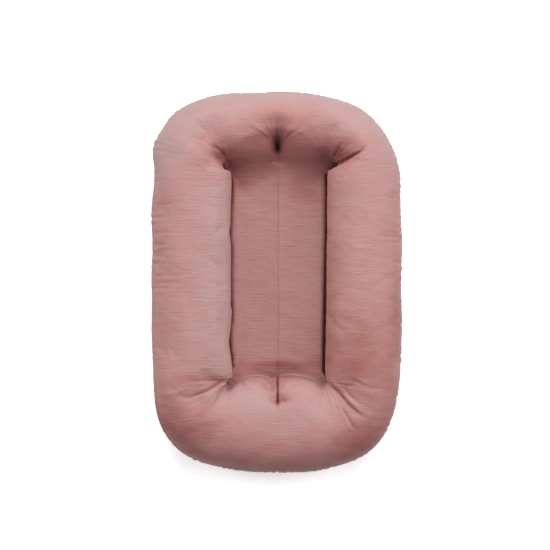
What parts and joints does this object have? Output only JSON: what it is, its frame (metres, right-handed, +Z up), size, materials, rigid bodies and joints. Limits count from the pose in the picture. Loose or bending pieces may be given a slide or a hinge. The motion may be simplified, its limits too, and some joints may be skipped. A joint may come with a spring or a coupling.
{
  "type": "infant lounger",
  "caption": "Oblong stuffed ring bolster round a narrow sling well for an infant to lie in, in a zipped fabric cover.",
  "frame": {"origin": "middle of the outline, on the surface that the lounger lies on", "axes": "+Z up, +Y from the foot to the head, where the deep tuft is, +X to the right seen from above with the head at the top"},
  "size_m": [0.489, 0.737, 0.14],
  "materials": {
    "rose_cloth": "matte",
    "plain_cloth": "matte",
    "fibre": "matte",
    "zip_tape": "matte",
    "zip_teeth": "satin",
    "zip_metal": "satin"
  },
  "bodies": {
    "root": {"cover_top": "rose_cloth", "cover_bottom_right": "rose_cloth", "cover_bottom_left": "rose_cloth", "case_top_right": "plain_cloth", "case_top_left": "plain_cloth", "case_bottom_right": "plain_cloth", "case_bottom_left": "plain_cloth", "sling_panel_upper": "plain_cloth", "sling_panel_lower": "plain_cloth", "fibre_filling": "fibre", "zip_tape_right": "zip_tape", "zip_teeth_right": "zip_teeth", "zip_top_stop_right": "zip_metal", "zip_tape_left": "zip_tape", "zip_teeth_left": "zip_teeth", "zip_top_stop_left": "zip_metal", "zip_bottom_stop": "zip_metal"},
    "zip_slider": {"zip_slider_body": "zip_metal"},
    "zip_pull": {"zip_pull_tab": "zip_metal"}
  },
  "joints": [
    {"name": "zip_slide", "type": "slide", "parent": "root", "child": "zip_slider", "axis": [0, 1, 0], "range_m": [0, 0.316], "deforming": ["zip_teeth_right", "zip_teeth_left"]},
    {"name": "pull_swing", "type": "hinge", "parent": "zip_slider", "child": "zip_pull", "pos_m": [0, -0.1248, 0.04105], "axis": [1, 0, 0], "range_deg": [-80, 80]}
  ]
}
